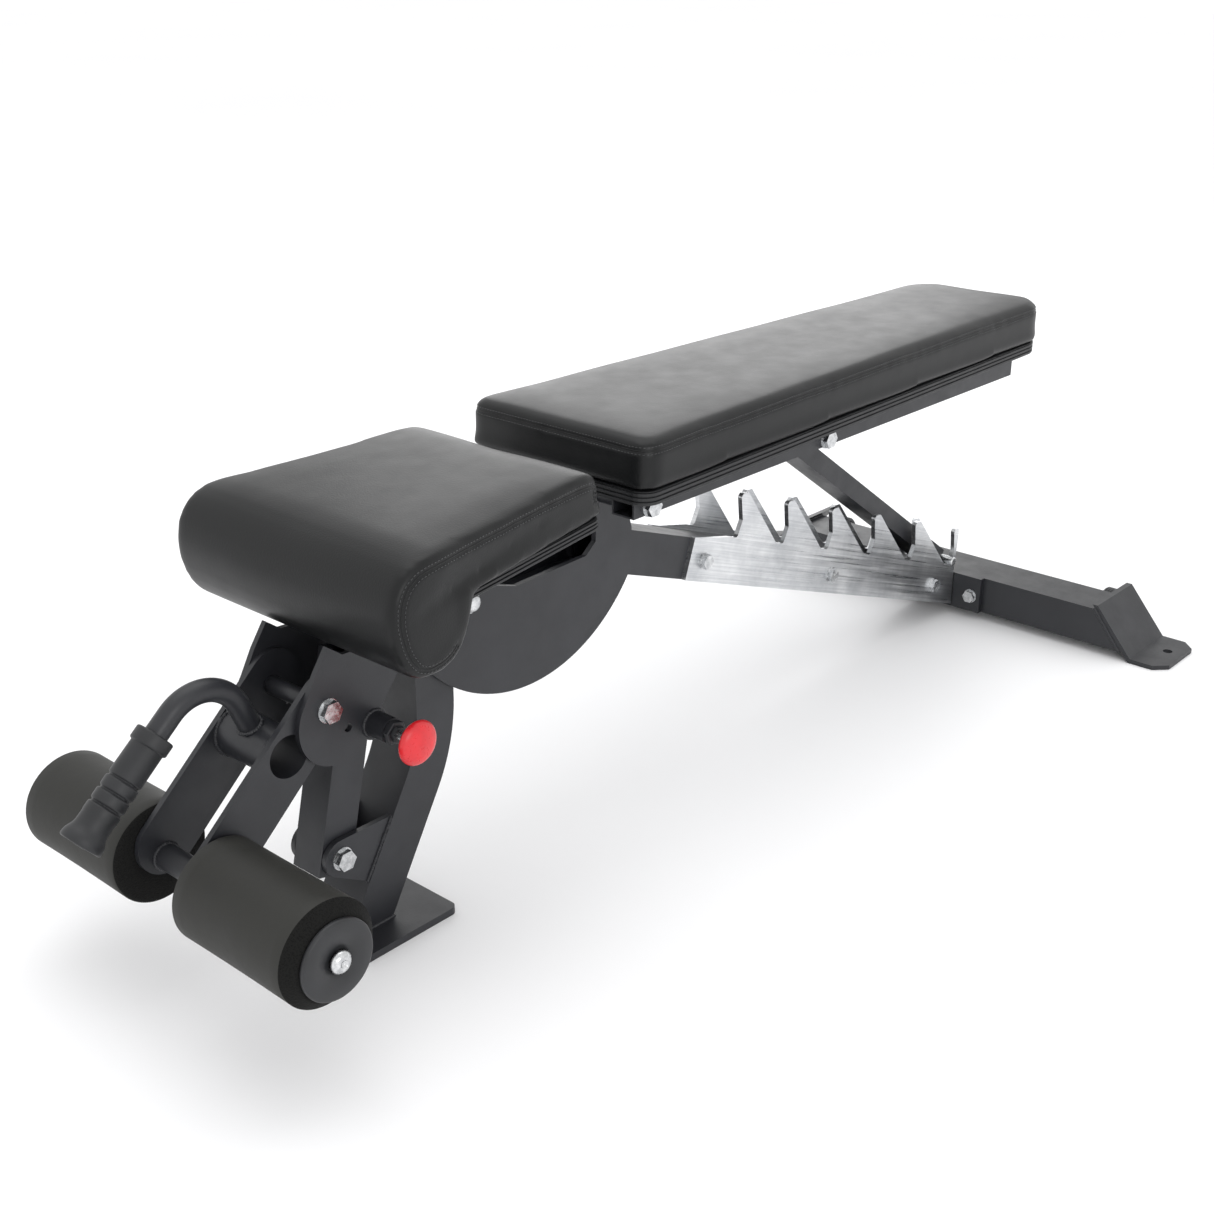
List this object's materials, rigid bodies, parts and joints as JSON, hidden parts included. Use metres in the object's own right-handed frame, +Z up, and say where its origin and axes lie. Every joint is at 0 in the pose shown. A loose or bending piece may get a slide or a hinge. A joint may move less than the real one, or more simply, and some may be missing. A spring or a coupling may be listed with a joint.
{
  "type": "adjustable weight bench",
  "caption": "Adjustable exercise bench with a hinged backrest on a stepped ladder, a tilting seat, foam leg rollers, a pull handle and a welded steel frame.",
  "frame": {"origin": "on the floor, under the middle of the whole bench", "axes": "+Z up, +X towards the head end, +Y to the left of a user lying face up with the head at +X"},
  "size_m": [1.5464, 0.726, 0.465],
  "materials": {
    "black_paint": "satin black powder coat",
    "galvanised_steel": "bright galvanised, laser cut edges",
    "zinc_steel": "bright zinc plate",
    "black_plastic": "dark grey moulded plastic",
    "board_plastic": "black ribbed edge trim over board",
    "red_plastic": "glossy red moulded plastic",
    "foam": "closed-cell foam, fine pores",
    "grip_rubber": "dark ribbed rubber",
    "black_vinyl": "black upholstery vinyl, stitched"
  },
  "bodies": {
    "frame": {"rear_crossbar": "black_paint", "end_plate_l": "black_paint", "end_plate_r": "black_paint", "beam_end_flange": "black_paint", "flange_bolt_l": "zinc_steel", "flange_bolt_r": "zinc_steel", "wheel_bracket_l": "black_paint", "wheel_bracket_r": "black_paint", "main_beam": "black_paint", "seat_beam": "black_paint", "cheek_plate_l": "black_paint", "cheek_plate_r": "black_paint", "hinge_bush_l": "black_paint", "hinge_bush_r": "black_paint", "ladder_plate_l": "galvanised_steel", "ladder_plate_r": "galvanised_steel", "ladder_bolt_1": "zinc_steel", "ladder_bolt_2": "zinc_steel", "ladder_bolt_3": "zinc_steel", "front_leg": "black_paint", "front_foot_plate": "black_paint", "leg_ear_l": "black_paint", "leg_ear_r": "black_paint", "post_pivot_bolt": "zinc_steel", "seat_pivot_bolt": "zinc_steel"},
    "wheel_left": {"wheel_l": "black_plastic"},
    "wheel_right": {"wheel_r": "black_plastic"},
    "post": {"post_tube": "black_paint"},
    "seat": {"seat_rail_l": "black_paint", "seat_rail_r": "black_paint", "hanger_plate_l": "black_paint", "hanger_plate_r": "black_paint", "seat_board": "board_plastic", "seat_pad": "black_vinyl", "roller_arm_l": "black_paint", "roller_arm_r": "black_paint", "hanger_bolt": "zinc_steel", "tie_tube": "black_paint", "roller_axle": "black_paint", "roller_bolt_l": "zinc_steel", "roller_bolt_r": "zinc_steel", "handle_tube": "black_paint", "handle_grip": "grip_rubber", "pin_housing": "black_paint"},
    "roller_left": {"roller_foam_l": "foam", "roller_cap_l": "black_plastic"},
    "roller_right": {"roller_foam_r": "foam", "roller_cap_r": "black_plastic"},
    "plunger": {"pull_pin": "zinc_steel", "pull_knob": "red_plastic"},
    "backrest": {"back_rail_l": "black_paint", "back_rail_r": "black_paint", "back_brace_front": "black_paint", "back_brace_head": "black_paint", "hinge_bolt": "zinc_steel", "strut_pivot_bolt": "zinc_steel", "back_board": "board_plastic", "back_pad": "black_vinyl"},
    "strut": {"strut_tube": "black_paint", "strut_pin": "zinc_steel"}
  },
  "joints": [
    {"name": "back_recline", "type": "hinge", "parent": "frame", "child": "backrest", "pos_m": [-0.1358, 0, 0.384], "axis": [0, -1, 0], "range_deg": [0, 85]},
    {"name": "strut_swing", "type": "hinge", "parent": "backrest", "child": "strut", "pos_m": [0.1852, 0, 0.384], "axis": [0, -1, 0], "range_deg": [-104, 0]},
    {"name": "seat_tilt", "type": "hinge", "parent": "frame", "child": "seat", "pos_m": [-0.3348, 0, 0.32], "axis": [0, 1, 0], "range_deg": [0, 10]},
    {"name": "post_swing", "type": "hinge", "parent": "frame", "child": "post", "pos_m": [-0.5078, 0, 0.101], "axis": [0, -1, 0], "range_deg": [0, 7.5]},
    {"name": "pin_pull", "type": "slide", "parent": "seat", "child": "plunger", "axis": [0, -1, 0], "range_m": [0, 0.012], "stiffness_N_per_m": 900, "springref_m": -0.004},
    {"name": "roller_spin_l", "type": "hinge", "parent": "seat", "child": "roller_left", "pos_m": [-0.6598, 0, 0.148], "axis": [0, 1, 0], "continuous": true},
    {"name": "roller_spin_r", "type": "hinge", "parent": "seat", "child": "roller_right", "pos_m": [-0.6598, 0, 0.148], "axis": [0, 1, 0], "continuous": true},
    {"name": "wheel_spin_l", "type": "hinge", "parent": "frame", "child": "wheel_left", "pos_m": [0.7482, 0.232, 0.033], "axis": [0, 1, 0], "continuous": true},
    {"name": "wheel_spin_r", "type": "hinge", "parent": "frame", "child": "wheel_right", "pos_m": [0.7482, -0.232, 0.033], "axis": [0, 1, 0], "continuous": true}
  ],
  "couplings": [
    {"joint": "strut_swing", "follows": "back_recline", "ratio": -1.2},
    {"joint": "post_swing", "follows": "seat_tilt", "ratio": 0.595}
  ]
}
